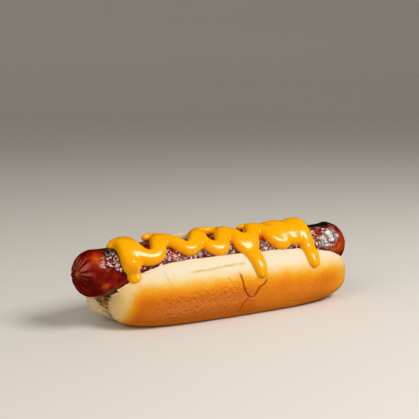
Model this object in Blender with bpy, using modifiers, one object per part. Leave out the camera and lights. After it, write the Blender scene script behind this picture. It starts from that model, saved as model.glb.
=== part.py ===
"""A hot dog: a bun split from above and hinged below, a grilled sausage in it, and a zigzag of mustard.

X runs along the bun, -Y is its lower, browned half, and the bun rests on z = 0 on the flat that its
own weight presses into it. The origin is under the middle of the whole.
"""

import math

import bmesh
import bpy
from mathutils import Vector

MM = 0.001
GAP = 0.3 * MM  # left between pieces that touch

# Sausage
SAUSAGE_RADIUS = 12.8 * MM
SAUSAGE_LENGTH = 176.0 * MM
SAUSAGE_TIP = 0.88 * SAUSAGE_RADIUS  # length of each rounded end
SAUSAGE_Y = -0.8 * MM
SAUSAGE_Z = 30.9 * MM  # height of the axis
SAUSAGE_BEND = 2.6 * MM  # how far the tip at -X leans towards -Y
SAUSAGE_BEND_LENGTH = 60.0 * MM
SAUSAGE_LIFT = 1.8 * MM  # how far the tip at +X curls up
SAUSAGE_LIFT_LENGTH = 90.0 * MM
SAUSAGE_RINGS = 40
SAUSAGE_FIRST_RING = 0.35  # its place in from the tip, as a share of a step
SAUSAGE_BEVEL = 10  # 2 * (SAUSAGE_BEVEL + 2) sides

# Bun: its section is a superellipse with a size of its own for each side, flattened below
BUN_LEFT_ENDS = (69.5 * MM, 78.5 * MM)  # reach towards -X of the -Y half, and of the +Y half
BUN_RIGHT_ENDS = (85.0 * MM, 84.0 * MM)  # the same towards +X
BUN_LEFT_SQUARENESS = (3.5, 2.7)  # how blunt those ends are
BUN_RIGHT_SQUARENESS = (3.6, 3.2)
BUN_END_BLEND = (-4.0 * MM, 10.0 * MM)  # over this stretch of Y one half's end runs into the other's
BUN_FRONT = 25.4 * MM
BUN_BACK = 26.6 * MM
BUN_BELLY = 15.0 * MM  # height of the widest line
BUN_FRONT_TOP = 37.4 * MM
BUN_BACK_TOP = 46.8 * MM
BUN_CROWN_BLEND = 0.4  # one height runs into the other over this share of each half's width
BUN_PRESS = 3.0 * MM  # how much the base is pressed flat
BUN_SQUARENESS = 2.5
BUN_STATIONS = 34
BUN_SIDES = 44

# Slit: a V that opens to the sausage's axis and stands upright above it, a little narrower than the
# sausage, so that the crumb hugs its sides
SLIT_FOOT = 7.5 * MM
SLIT_TOP = 60.0 * MM
SLIT_HALF_WIDTH = 12.0 * MM
SLIT_HALF_LENGTH = 100.0 * MM

# Mustard: beads that merge. Over the sausage a place is (x in mm, degrees from the top with the front
# negative, half the bead's width in mm, its height over the skin in mm), and the zigzag is its turns
ZIGZAG = (
    (-61.5, 8, 4.8, 4.8), (-48.0, -58, 4.6, 4.3), (-36.5, 9, 4.6, 5.0), (-23.0, -46, 4.2, 4.1),
    (-12.6, 14, 4.5, 5.4), (-5.6, -55, 4.3, 4.1), (4.8, 12, 4.6, 5.2), (13.5, -60, 4.4, 4.1),
    (23.5, 8, 4.6, 5.5), (36.0, -57, 4.5, 4.3), (38.5, 4, 4.8, 5.8), (45.0, -48, 4.8, 4.4),
    (51.0, 2, 5.3, 5.9), (53.2, -66, 5.0, 4.4),
)
# Where its strokes run together: the broad start, the foot of the middle run, and the broad end
LOBES = (
    ((-60.6, 4, 4.8, 5.3), (-58.6, -26, 6.4, 5.0), (-59.6, -66, 6.0, 4.3)),
    ((13.4, -30, 3.4, 3.9), (13.8, -42, 4.4, 4.3), (14.2, -58, 4.8, 4.3)),
    ((35.0, -14, 4.6, 4.8), (40.0, -42, 4.8, 4.6), (50.5, -38, 5.0, 4.8)),
    ((36.0, 8, 4.8, 5.6), (44.0, -8, 5.4, 5.8), (52.0, 4, 5.2, 5.8)),
)
# Strands from the sausage's crest to the upper half's edge: (x, y, z, radius) in mm
BRIDGES = (
    ((-52.0, 1.0, 43.8, 2.4), (-42.0, 9.2, 45.2, 2.1), (-34.5, 2.0, 45.2, 2.6)),
    ((-14.0, 3.0, 45.4, 2.6), (-3.0, 9.4, 45.4, 2.2), (6.0, 2.0, 45.2, 2.8)),
    ((19.4, 9.4, 45.4, 1.6), (26.0, 8.8, 45.5, 2.1), (31.0, 4.0, 45.5, 2.6)),
    ((31.0, 4.5, 44.8, 2.2), (42.0, 8.4, 45.2, 2.2), (57.0, 2.0, 45.2, 2.6)),
)
# Each run down the front of the bun: its foot on the sausage as above, and its tip on the skin as
# (x, z, half width, height) in mm
RUNS = (
    ((-59.4, -66, 6.0, 4.3), (-57.8, 28.9, 3.6, 3.2)),
    ((13.6, -60, 5.6, 4.0), (15.9, 25.8, 3.5, 3.1)),
    ((53.2, -62, 5.0, 4.2), (53.2, 27.2, 3.9, 3.4)),
)
RUN_TOP = 36.4  # height in mm at which a run comes over the bun's lip
RUN_MIDDLE = 0.55  # share of the way from there to its tip at which it lies on the skin
BEAD_SIDES = 20
BEAD_STEPS = 7  # rings from one place to the next
BEAD_CAP_RINGS = 4
MUSTARD_VOXEL = 0.8 * MM
MUSTARD_THINNING = 0.14  # share of the merged beads' triangles that is kept


def clear_scene():
    for obj in list(bpy.data.objects):
        bpy.data.objects.remove(obj)


def new_collection(name, helpers=False):
    group = bpy.data.collections.new(name)
    bpy.context.scene.collection.children.link(group)
    group.hide_render = helpers
    return group


def new_material(name, colour, roughness):
    made = bpy.data.materials.new(name)
    made.use_nodes = True
    shader = made.node_tree.nodes["Principled BSDF"]
    shader.inputs["Base Color"].default_value = (*colour, 1.0)
    shader.inputs["Roughness"].default_value = roughness
    shader.inputs["Metallic"].default_value = 0.0
    return made


def new_object(name, mesh, group):
    made = bpy.data.objects.new(name, mesh)
    group.objects.link(made)
    return made


def as_helper(obj):
    obj.hide_render = True
    obj.display_type = "WIRE"
    return obj


def mix(first, second, share):
    return first + (second - first) * share


def superellipse(share, squareness):
    """Height of a unit superellipse at a share of its half width."""
    return max(1.0 - share ** squareness, 0.0) ** (1.0 / squareness)


def smoothstep(low, high, value):
    share = min(max((value - low) / (high - low), 0.0), 1.0)
    return share * share * (3.0 - 2.0 * share)


def tube(name, points, radii, group, bevel):
    """A closed tube along points, as a mesh, with its own radius at each."""
    curve = bpy.data.curves.new(name, "CURVE")
    curve.dimensions = "3D"
    curve.bevel_depth = 1.0
    curve.bevel_resolution = bevel
    curve.use_fill_caps = True
    spline = curve.splines.new("POLY")
    spline.points.add(len(points) - 1)
    for point, place, radius in zip(spline.points, points, radii):
        point.co = (*place, 1.0)
        point.radius = radius
    drawn = new_object(name + "_curve", curve, group)
    graph = bpy.context.evaluated_depsgraph_get()
    mesh = bpy.data.meshes.new_from_object(drawn.evaluated_get(graph))
    bpy.data.objects.remove(drawn)
    bpy.data.curves.remove(curve)
    shape = bmesh.new()
    shape.from_mesh(mesh)
    bmesh.ops.remove_doubles(shape, verts=shape.verts, dist=0.00001)
    bmesh.ops.recalc_face_normals(shape, faces=shape.faces)
    shape.to_mesh(mesh)
    shape.free()
    return new_object(name, mesh, group)


def cut(obj, cutter):
    modifier = obj.modifiers.new("cut by " + cutter.name, "BOOLEAN")
    modifier.operation = "DIFFERENCE"
    modifier.solver = "EXACT"
    modifier.object = cutter


def shade(obj, material, sharp_degrees):
    obj.data.materials.clear()
    obj.data.materials.append(material)
    obj.data.shade_smooth()
    obj.data.set_sharp_from_angle(angle=math.radians(sharp_degrees))


# Sausage


def sausage_axis(x):
    """Middle of the sausage at x: its tip at -X leans towards -Y, and its tip at +X curls up."""
    half = 0.5 * SAUSAGE_LENGTH
    lean = max(0.0, 1.0 - (half + x) / SAUSAGE_BEND_LENGTH)
    curl = max(0.0, 1.0 - (half - x) / SAUSAGE_LIFT_LENGTH)
    return Vector((x, SAUSAGE_Y - SAUSAGE_BEND * lean * lean, SAUSAGE_Z + SAUSAGE_LIFT * curl * curl))


def sausage_radius(x):
    left = 0.5 * SAUSAGE_LENGTH - abs(x)
    if left >= SAUSAGE_TIP:
        return SAUSAGE_RADIUS
    share = 1.0 - max(left, 0.0) / SAUSAGE_TIP
    return SAUSAGE_RADIUS * math.sqrt(max(1.0 - share * share, 0.0))


def sausage_stations():
    """Places along the sausage, close together where its ends turn in."""
    half = 0.5 * SAUSAGE_LENGTH
    steps = SAUSAGE_RINGS // 4
    shares = [(i + SAUSAGE_FIRST_RING) / (steps + SAUSAGE_FIRST_RING) for i in range(steps + 1)]
    places = [half - SAUSAGE_TIP * (1.0 - math.cos(0.5 * math.pi * share)) for share in shares]
    straight = SAUSAGE_RINGS // 2
    inner = half - SAUSAGE_TIP
    middle = [inner - 2.0 * inner * i / straight for i in range(1, straight)]
    return places + middle + [-place for place in reversed(places)]


def sausage(name, grow, group):
    places = sausage_stations()
    scale = 1.0 + 2.0 * grow / SAUSAGE_LENGTH
    points = [sausage_axis(x) for x in places]
    for point in points:
        point.x *= scale
    radii = [sausage_radius(x) + grow for x in places]
    return tube(name, points, radii, group, SAUSAGE_BEVEL)


# Bun


def bun_top(y):
    """Height of the section's crown: lower over the half at -Y than over the half at +Y."""
    share = smoothstep(-BUN_CROWN_BLEND * BUN_FRONT, BUN_CROWN_BLEND * BUN_BACK, y)
    return mix(BUN_FRONT_TOP, BUN_BACK_TOP, share)


def bun_end(reach, y):
    """(length, squareness) of the end that a station lies towards, blended from half to half."""
    lengths = BUN_LEFT_ENDS if reach < 0.0 else BUN_RIGHT_ENDS
    squares = BUN_LEFT_SQUARENESS if reach < 0.0 else BUN_RIGHT_SQUARENESS
    share = smoothstep(*BUN_END_BLEND, y)
    return mix(*lengths, share), mix(*squares, share)


def bun_point(reach, angle, grow):
    """Point of the loaf's skin, at a share of its reach along X and an angle about the belly line."""
    side, rise = math.cos(angle), math.sin(angle)
    across = math.copysign(abs(side) ** (2.0 / BUN_SQUARENESS), side)
    up = math.copysign(abs(rise) ** (2.0 / BUN_SQUARENESS), rise)
    half = BUN_BACK if across > 0.0 else BUN_FRONT
    taper = superellipse(abs(reach), bun_end(reach, across * half)[1])
    y = across * (half * taper + grow)
    height = bun_top(y) - BUN_BELLY if up > 0.0 else BUN_BELLY + BUN_PRESS
    z = BUN_BELLY + up * (height * taper + grow)
    return Vector((reach * (bun_end(reach, y)[0] + grow), y, max(z, -grow)))


def loaf(name, grow, group):
    """The whole bun before it is split: a loft from end to end."""
    shape = bmesh.new()
    rings = []
    for i in range(1, BUN_STATIONS):
        reach = math.sin(math.pi * (i / BUN_STATIONS - 0.5))
        rings.append([shape.verts.new(bun_point(reach, 2.0 * math.pi * j / BUN_SIDES, grow))
                      for j in range(BUN_SIDES)])
    for near, far in zip(rings, rings[1:]):
        for j in range(BUN_SIDES):
            k = (j + 1) % BUN_SIDES
            shape.faces.new((near[j], near[k], far[k], far[j]))
    for ring, reach in ((rings[0], -1.0), (rings[-1], 1.0)):
        pole = shape.verts.new(bun_point(reach, 0.5 * math.pi, grow))
        for j in range(BUN_SIDES):
            shape.faces.new((ring[j], ring[(j + 1) % BUN_SIDES], pole))
    bmesh.ops.recalc_face_normals(shape, faces=shape.faces)
    mesh = bpy.data.meshes.new(name)
    shape.to_mesh(mesh)
    shape.free()
    return new_object(name, mesh, group)


def slit(name, grow, group):
    """Prism along X that opens the bun from above, narrower by grow on each side."""
    half = SLIT_HALF_WIDTH - grow
    outline = ((0.0, SLIT_FOOT + grow), (half, SAUSAGE_Z), (half, SLIT_TOP),
               (-half, SLIT_TOP), (-half, SAUSAGE_Z))
    shape = bmesh.new()
    corners = [shape.verts.new((-SLIT_HALF_LENGTH, SAUSAGE_Y + y, z)) for y, z in outline]
    face = shape.faces.new(corners)
    pushed = bmesh.ops.extrude_face_region(shape, geom=[face])["geom"]
    moved = [item for item in pushed if isinstance(item, bmesh.types.BMVert)]
    bmesh.ops.translate(shape, verts=moved, vec=(2.0 * SLIT_HALF_LENGTH, 0.0, 0.0))
    bmesh.ops.recalc_face_normals(shape, faces=shape.faces)
    mesh = bpy.data.meshes.new(name)
    shape.to_mesh(mesh)
    shape.free()
    return as_helper(new_object(name, mesh, group))


def bun(name, grow, group, helpers):
    """The loaf, opened by the slit and by the sausage's own channel."""
    made = loaf(name, grow, group)
    cut(made, slit(name + "_slit", grow, helpers))
    cut(made, as_helper(sausage(name + "_channel", GAP - grow, helpers)))
    return made


# Mustard


def on_sausage(x, degrees, half, height):
    """A bead's place as (middle, way out, half width, height), all in metres."""
    angle = math.radians(degrees)
    out = Vector((0.0, math.sin(angle), math.cos(angle)))
    return sausage_axis(x * MM) + SAUSAGE_RADIUS * out, out, half * MM, height * MM


def on_skin(x, z, half, height):
    """The same for a place on the lower half's skin above its belly."""
    length, squareness = bun_end(x * MM, -BUN_FRONT)
    taper = superellipse(abs(x * MM) / length, squareness)
    rise = (z * MM - BUN_BELLY) / ((BUN_FRONT_TOP - BUN_BELLY) * taper)
    y = -BUN_FRONT * taper * superellipse(rise, BUN_SQUARENESS)
    out = Vector((0.0, -(abs(y) / BUN_FRONT) ** (BUN_SQUARENESS - 1.0) / BUN_FRONT,
                  rise ** (BUN_SQUARENESS - 1.0) / (BUN_FRONT_TOP - BUN_BELLY)))
    return Vector((x * MM, y, z * MM)), out.normalized(), half * MM, height * MM


def swing(first, second, share):
    """Between two of the zigzag's turns: x runs evenly, and the angle slows towards each turn."""
    eased = 0.5 - 0.5 * math.cos(math.pi * share)
    return tuple(mix(a, b, eased if i == 1 else share) for i, (a, b) in enumerate(zip(first, second)))


def smooth_row(rows, i, share):
    """Row of numbers on the smooth curve through rows, between rows i and i + 1."""
    b, c = rows[i], rows[i + 1]
    a = rows[i - 1] if i > 0 else tuple(2.0 * p - q for p, q in zip(b, c))
    d = rows[i + 2] if i + 2 < len(rows) else tuple(2.0 * q - p for p, q in zip(b, c))
    return tuple(0.5 * (2.0 * q + (r - p) * share + (2.0 * p - 5.0 * q + 4.0 * r - s) * share ** 2
                        + (3.0 * q - p - 3.0 * r + s) * share ** 3) for p, q, r, s in zip(a, b, c, d))


def along_rows(rows, between):
    """Rows from the first to the last, with BEAD_STEPS to each span."""
    found = [between(i, step / BEAD_STEPS) for i in range(len(rows) - 1) for step in range(BEAD_STEPS)]
    return found + [rows[-1]]


def add_bead(shape, held):
    """A closed bead with round ends through places: each ring is an ellipse about its middle."""
    middles = [place[0] for place in held]
    last = len(held) - 1
    leans = [0.5 * math.pi * i / BEAD_CAP_RINGS for i in range(1, BEAD_CAP_RINGS)]
    stops = [(0, -math.sin(lean), math.cos(lean)) for lean in reversed(leans)]
    stops += [(i, 0.0, 1.0) for i in range(len(held))]
    stops += [(last, math.sin(lean), math.cos(lean)) for lean in leans]
    rings = []
    for i, beyond, share in stops:
        middle, out, half, height = held[i]
        along = (middles[min(i + 1, last)] - middles[max(i - 1, 0)]).normalized()
        side = along.cross(out).normalized()
        up = side.cross(along)
        ring = []
        for j in range(BEAD_SIDES):
            turn = 2.0 * math.pi * j / BEAD_SIDES
            reach = half * math.cos(turn) * side + height * math.sin(turn) * up
            ring.append(shape.verts.new(middle + along * half * beyond + share * reach))
        rings.append(ring)
    for near, far in zip(rings, rings[1:]):
        for j in range(BEAD_SIDES):
            k = (j + 1) % BEAD_SIDES
            shape.faces.new((near[j], near[k], far[k], far[j]))
    shape.faces.new(list(reversed(rings[0])))
    shape.faces.new(rings[-1])


def zigzag():
    found = along_rows(ZIGZAG, lambda i, share: swing(ZIGZAG[i], ZIGZAG[i + 1], share))
    return [on_sausage(*row) for row in found]


def lobe(rows):
    found = along_rows(rows, lambda i, share: smooth_row(rows, i, share))
    return [on_sausage(*row) for row in found]


def bridge(rows):
    up = Vector((0.0, 0.0, 1.0))
    found = along_rows(rows, lambda i, share: smooth_row(rows, i, share))
    return [(Vector(row[:3]) * MM, up, row[3] * MM, row[3] * MM) for row in found]


def run(foot, tip):
    """From the sausage's side over the bun's lip and down its skin."""
    top = (foot[0], RUN_TOP, foot[2], foot[3])
    middle = [mix(high, low, RUN_MIDDLE) for high, low in zip(top, tip)]
    held = [on_sausage(*foot), on_skin(*middle), on_skin(*tip)]
    rows = [(*place, *out, half, height) for place, out, half, height in held]
    found = along_rows(rows, lambda i, share: smooth_row(rows, i, share))
    return [(Vector(row[:3]), Vector(row[3:6]).normalized(), row[6], row[7]) for row in found]


def mustard(name, group, helpers):
    """The beads, merged into one and cut back from what they lie on."""
    shape = bmesh.new()
    add_bead(shape, zigzag())
    for rows in LOBES:
        add_bead(shape, lobe(rows))
    for rows in BRIDGES:
        add_bead(shape, bridge(rows))
    for foot, tip in RUNS:
        add_bead(shape, run(foot, tip))
    bmesh.ops.recalc_face_normals(shape, faces=shape.faces)
    mesh = bpy.data.meshes.new(name)
    shape.to_mesh(mesh)
    shape.free()
    made = new_object(name, mesh, group)
    merge = made.modifiers.new("merge", "REMESH")
    merge.mode = "VOXEL"
    merge.voxel_size = MUSTARD_VOXEL
    soften = made.modifiers.new("soften", "SMOOTH")
    soften.factor = 0.5
    soften.iterations = 6
    thin = made.modifiers.new("thin", "DECIMATE")
    thin.ratio = MUSTARD_THINNING
    cut(made, as_helper(sausage(name + "_bed", GAP, helpers)))
    cut(made, as_helper(bun(name + "_lip", GAP, helpers, helpers)))
    return made


def main():
    clear_scene()
    group = new_collection("hot_dog")
    helpers = new_collection("cutters", helpers=True)
    shade(bun("bun", 0.0, group, helpers), new_material("bun_crust", (0.75, 0.42, 0.13), 0.6), 40)
    shade(sausage("sausage", 0.0, group), new_material("sausage_skin", (0.30, 0.04, 0.01), 0.3), 60)
    shade(mustard("mustard", group, helpers), new_material("mustard_sauce", (0.92, 0.42, 0.005), 0.25), 60)


main()
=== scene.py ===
"""The hot dog's looks: bread, sausage and mustard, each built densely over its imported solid.

Lengths are in millimetres until a mesh is made, and in the part's own frame: X runs along the bun,
-Y is its lower, browned half, and it rests on z = 0.
"""

import math

import bmesh
import bpy
import numpy as np
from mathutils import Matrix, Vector, noise


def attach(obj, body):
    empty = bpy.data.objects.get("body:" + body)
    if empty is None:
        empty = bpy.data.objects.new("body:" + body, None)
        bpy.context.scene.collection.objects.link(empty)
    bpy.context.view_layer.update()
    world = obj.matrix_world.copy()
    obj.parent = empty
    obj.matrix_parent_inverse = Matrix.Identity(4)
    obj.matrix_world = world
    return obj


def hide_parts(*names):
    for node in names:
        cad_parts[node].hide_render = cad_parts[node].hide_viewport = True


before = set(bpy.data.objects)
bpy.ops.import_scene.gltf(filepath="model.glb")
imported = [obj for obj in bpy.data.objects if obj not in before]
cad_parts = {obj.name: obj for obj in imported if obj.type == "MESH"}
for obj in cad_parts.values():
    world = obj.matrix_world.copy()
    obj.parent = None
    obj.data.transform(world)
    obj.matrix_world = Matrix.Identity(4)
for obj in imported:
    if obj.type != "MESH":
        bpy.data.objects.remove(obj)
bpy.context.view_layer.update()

MM = 0.001
PER_METRE = 1000.0

# Sausage
SAUSAGE_RADIUS = 12.8
SAUSAGE_LENGTH = 176.0
SAUSAGE_HALF = 0.5 * SAUSAGE_LENGTH
SAUSAGE_TIP = 0.88 * SAUSAGE_RADIUS
SAUSAGE_Y = -0.8
SAUSAGE_Z = 30.9
SAUSAGE_BEND = 2.6
SAUSAGE_BEND_LENGTH = 60.0
SAUSAGE_LIFT = 1.8
SAUSAGE_LIFT_LENGTH = 90.0
TIP_RINGS = 60
SAUSAGE_RINGS = 250
SAUSAGE_SIDES = 220
LEFT_KNOT = (-0.96, -0.25, 0.13)  # way from the middle of each rounded end to the knot it is tied off at
RIGHT_KNOT = (0.97, 0.12, 0.05)
PUCKERS = 7.0  # half the number of creases that run to a knot
PUCKER_DEPTH = 1.5
PUCKER_REACH = 62.0  # degrees from the knot
HUMP = (76.0, 6.0, 2.4, 20.0)  # a burnt hump: x, degrees from the top, half length, half width in degrees
HUMP_HEIGHT = 0.7
# Patches on the skin: burnt, orange, speckled with painted glints, and blistered under a painted silver
# sheen:
# (x, degrees from the top, half length along, half width across)
CHAR = (
    (-68.0, -28, 4.6, 5.6), (-69.5, -6, 4.0, 3.0), (61.0, -14, 9.0, 3.0), (71.0, -14, 6.5, 4.0),
    (77.5, -10, 5.0, 4.4), (71.0, 22, 10.0, 4.0), (-52.0, 70, 12.0, 3.0), (-8.0, 84, 14.0, 3.0),
    (40.0, 76, 12.0, 3.4),
)
GLOW = (
    (-77.0, -44, 5.0, 5.0), (-72.7, -111, 4.0, 2.6), (23.0, -32, 6.0, 3.0), (77.0, -90, 8.0, 4.6),
    (83.0, -44, 4.2, 12.0), (86.0, -90, 3.6, 10.0), (76.0, -30, 4.0, 2.6), (63.5, -48, 3.4, 7.0),
    (-34.0, -58, 5.0, 3.0),
)
SPARKLE = (
    (-69.0, -30, 4.0, 3.4), (-69.0, -52, 5.4, 4.2), (-65.0, -68, 3.4, 3.0), (61.0, -34, 3.6, 4.0),
    (62.5, -60, 4.6, 5.6), (70.0, -34, 6.0, 2.2), (69.0, -84, 6.0, 2.4),
)
BLISTER_AND_SHEEN = ((72.5, -56, 6.0, 4.8), (66.0, -64, 3.4, 2.6), (67.0, -76, 5.0, 2.4))

# Bun
# Each end and squareness is the lower half's, then the upper half's.
BUN_LEFT_ENDS = (69.5, 78.5)
BUN_RIGHT_ENDS = (85.0, 84.0)
BUN_LEFT_SQUARENESS = (3.5, 2.7)
BUN_RIGHT_SQUARENESS = (3.6, 3.2)
BUN_END_BLEND = (-4.0, 10.0)  # where across the bun the one turns into the other
BUN_FRONT = 25.4
BUN_BACK = 26.6
BUN_BELLY = 15.0
BUN_FRONT_TOP = 37.4
BUN_BACK_TOP = 46.8
BUN_CROWN_BLEND = 0.4
BUN_PRESS = 3.0
BUN_SQUARENESS = 2.5
BUN_STATIONS = 150
BUN_SIDES = 200
BUN_VOXEL = 0.66
GAP = 0.3
TUBE_CAPS = 6  # rings in the round end of the channel's tube
SLIT_FOOT = 7.5
SLIT_TOP = 60.0
SLIT_HALF_WIDTH = 12.0
SLIT_HALF_LENGTH = 100.0
SKIN_STEPS, SKIN_STEP = 40, 0.7  # the search for the skin: its steps, and each as a share of the way left
FINE_REACH = 2.4  # how far from a crease or the peeled strip's edge the bun's mesh is refined
# Creases down the lower half's skin: (depth, width, places as (x, z))
CREASES = (
    (1.1, 0.46, ((1.2, 27.6), (2.4, 24.6), (3.2, 21.7), (3.7, 18.3), (4.9, 15.2), (6.9, 12.9))),
    (1.0, 0.44,
     ((18.9, 22.6), (18.5, 20.6), (17.1, 18.9), (13.6, 17.1), (12.1, 14.9), (9.9, 12.2), (8.0, 12.2))),
    (0.8, 0.40, ((4.9, 15.2), (6.9, 12.9), (5.0, 10.9), (3.0, 9.0), (2.2, 6.6), (0.4, 3.6))),
    (0.45, 0.5, ((-5.9, 25.4), (-5.2, 23.6), (-4.1, 22.0))),
    (0.3, 0.5, ((-43.4, 31.6), (-42.2, 28.6), (-40.3, 25.1))),
    (0.3, 0.45, ((12.3, 23.4), (12.9, 22.0), (13.9, 20.6))),
    (0.3, 0.6, ((33.8, 5.6), (41.9, 5.2), (50.8, 5.4))),
    (0.35, 0.45, ((36.4, 34.9), (36.7, 34.0), (37.4, 33.1))),
)
# A crease's shoulders: their height as a share of its depth, their distance and width as shares of its width
SHOULDER_RISE, SHOULDER_PLACE, SHOULDER_WIDTH = 0.22, 2.3, 1.4
V_DROP = 0.55  # how much lower the skin between the first two creases lies
SCALLOP_LENGTH = 2.3
SCALLOP_DEPTH = 1.5
SCALLOP_WAY = (0.8, 0.3, -0.5)
CLEFT = 5.2  # how far the left end draws in where its two halves meet
CLEFT_HALF_WIDTH = 2.3
# The strip of skin that has peeled along the lip: its lower edge, and the step it ends in, as (x, z)
PEEL_EDGE = ((-31.0, 29.8), (-21.9, 30.1), (-14.5, 30.2), (-8.1, 30.7), (-0.3, 31.1), (6.6, 31.2))
PEEL_STEP = ((9.2, 34.8), (8.2, 33.4), (6.6, 31.2))
PEEL_RISE = 0.32
# The leathery band down the lower half's face
LEATHER_MIDDLE = 14.0
LEATHER_HALF = 8.0
LEATHER_SLOPE = 0.08
LEATHER_DEPTH = 0.26
PEBBLE = 2.3
# Where the mesh is refined at the left end: near the torn edge, and near the seam between the halves
TORN_REACH, TORN_END = 1.6, -55.0
SEAM_REACH, SEAM_END, SEAM_TOP = 3.0, -58.0, 9.0

# Mustard
MUSTARD_BED = 0.5  # how deep its underside lies in what carries it
MUSTARD_VOXEL = 0.5
SEATING_STEPS = 3
BEAD_FLATNESS = 0.8  # 1 for an elliptic section, less for one with a flatter top and steeper sides
MUSTARD_FILLING = 0.6  # grown by this and shrunk again, so that the clefts where beads meet fill up
MUSTARD_SIDES = 32
CAP_STEP = 15.0  # degrees between the rings of a bead's round end
STEPS_PER_SPAN = 8
# Beads over the sausage: each place is (x, degrees from the top with the front negative, half the
# bead's width, its height over the skin)
ZIGZAG = (
    (-65.4, 8, 2.8, 2.6), (-62.6, 6, 4.2, 4.2), (-60.2, -6, 5.4, 5.3), (-57.5, -24, 6.2, 5.4),
    (-54.5, -42, 5.6, 4.8), (-50.5, -53, 4.8, 4.4), (-46.0, -56, 4.4, 4.2), (-42.4, -48, 4.4, 4.2),
    (-40.8, -31, 4.6, 4.4), (-39.0, -9, 4.7, 4.8), (-36.5, 9, 4.6, 5.0), (-33.0, -1, 4.4, 4.4),
    (-30.2, -18, 4.3, 4.1), (-27.2, -34, 4.2, 4.1), (-23.6, -45, 4.2, 4.1), (-20.2, -41, 4.2, 4.1),
    (-17.8, -25, 4.3, 4.2), (-15.0, -5, 4.5, 4.8), (-12.6, 14, 4.5, 5.4), (-11.8, -4, 3.6, 4.2),
    (-12.4, -28, 3.6, 3.5), (-10.0, -43, 4.1, 3.9), (-5.6, -54, 4.3, 4.1), (-2.2, -48, 4.3, 4.1),
    (-1.2, -31, 4.3, 4.2), (1.2, -9, 4.4, 4.7), (4.5, 12, 4.7, 5.4), (7.6, 5, 4.2, 4.5), (9.6, -14, 4.1, 4.0),
    (9.6, -32, 4.3, 4.1), (9.4, -48, 4.3, 4.1), (12.5, -60, 4.4, 4.1), (16.2, -56, 4.4, 4.1),
    (17.8, -40, 4.3, 4.3), (20.6, -15, 4.3, 4.8), (23.0, 8, 4.7, 5.6), (27.2, 4, 4.5, 5.2),
    (29.8, -18, 4.3, 4.5), (31.4, -40, 4.3, 4.3), (34.5, -54, 4.4, 4.3), (38.0, -56, 4.5, 4.3),
    (39.5, -34, 4.8, 4.9), (38.5, 4, 4.8, 5.8), (43.0, -8, 4.8, 5.2), (43.5, -34, 4.8, 4.7),
    (45.5, -48, 4.8, 4.4), (47.5, -32, 5.0, 5.0), (49.5, 0, 5.4, 5.9), (53.5, 0, 5.2, 5.9),
    (53.2, -26, 5.0, 5.2), (52.8, -48, 5.0, 4.8), (53.2, -66, 5.0, 4.4),
)
# More beads like it, where the strokes run together: the broad start, the foot of the middle run,
# and the broad end
LOBES = (
    ((-60.6, 2, 4.6, 5.0), (-59.6, -26, 5.2, 4.8), (-59.6, -48, 5.2, 4.6), (-59.2, -68, 5.2, 4.2)),
    ((-62.5, 8, 4.2, 4.8), (-58.5, 8, 4.6, 5.4), (-55.5, 0, 4.4, 4.9)),
    ((13.4, -30, 3.4, 3.9), (13.8, -42, 4.4, 4.3), (14.2, -58, 4.8, 4.3)),
    ((35.0, -14, 4.6, 4.8), (37.5, -34, 5.0, 4.8), (41.0, -46, 4.6, 4.4)),
    ((37.5, -36, 5.0, 4.8), (44.0, -30, 6.2, 5.2), (51.5, -32, 5.6, 5.1)),
    ((41.0, -16, 5.6, 5.4), (47.0, -16, 5.8, 5.4), (51.0, -20, 5.4, 5.3)),
    ((36.0, 8, 4.8, 5.6), (43.0, 2, 5.2, 4.9), (50.0, 4, 5.2, 5.8)),
)
# Strands from the sausage's crest to the upper half's edge: (x, y, z, radius)
BRIDGES = (
    ((-42.0, 8.8, 45.0, 2.0), (-39.6, 9.2, 45.2, 2.2), (-36.0, 7.8, 45.2, 2.4), (-34.5, 2.0, 45.2, 2.6)),
    ((-14.0, 3.0, 45.4, 2.6), (-8.6, 8.2, 45.5, 2.7), (-1.6, 9.0, 45.3, 2.5), (3.0, 6.6, 45.4, 2.4),
     (6.0, 2.0, 45.2, 2.8)),
    ((19.4, 9.4, 45.4, 1.5), (22.5, 9.2, 45.5, 2.0), (27.5, 8.6, 45.6, 2.1), (31.0, 4.0, 45.5, 2.6)),
    ((31.0, 4.5, 44.8, 2.2), (38.0, 8.4, 45.4, 2.2), (44.0, 7.6, 44.2, 1.9), (52.0, 7.2, 45.4, 2.4),
     (57.0, 2.0, 45.2, 2.6)),
)
# Runs down the front: the first place is on the sausage as above, the rest (x, z, half width, height)
# on the bun's skin
RUNS = (
    ((-59.4, -66, 6.0, 4.3), ((-59.1, 33.0, 5.8, 3.4), (-58.3, 30.8, 5.0, 3.0), (-57.8, 28.9, 3.4, 2.4))),
    ((13.6, -60, 5.6, 4.0), ((14.6, 34.8, 5.2, 3.6), (15.2, 31.2, 4.6, 3.4), (15.6, 28.0, 4.1, 3.3),
                             (15.9, 25.8, 3.5, 3.1))),
    ((53.2, -62, 5.0, 4.2), ((53.6, 33.2, 4.7, 3.8), (53.3, 30.2, 4.5, 3.6), (53.2, 27.2, 3.9, 3.4))),
)

# Camera and lights
CAMERA_PLACE = (-217.5, -398.0, 133.5)
CAMERA_YAW = 28.1  # degrees from +Y towards +X
CAMERA_PITCH = 9.3  # degrees down
CAMERA_SENSOR = 36.0
CAMERA_LENS = 68.74
LIGHT_AIM = (0.0, 0.0, 0.03)  # m
# The floor's rings: (reach, height), in m. Its rim curls up, out of sight.
FLOOR_RINGS = ((0.0, 0.0), (1.2, 0.0), (1.8, 0.02), (2.3, 0.12), (2.6, 0.34), (2.75, 0.7), (2.8, 1.3))
FLOOR_SIDES = 96


# Fields: every function below takes arrays of places, one row a place


def smoothstep(low, high, value):
    share = np.clip((value - low) / (high - low), 0.0, 1.0)
    return share * share * (3.0 - 2.0 * share)


def mix(first, second, share):
    return first + (second - first) * share


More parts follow.
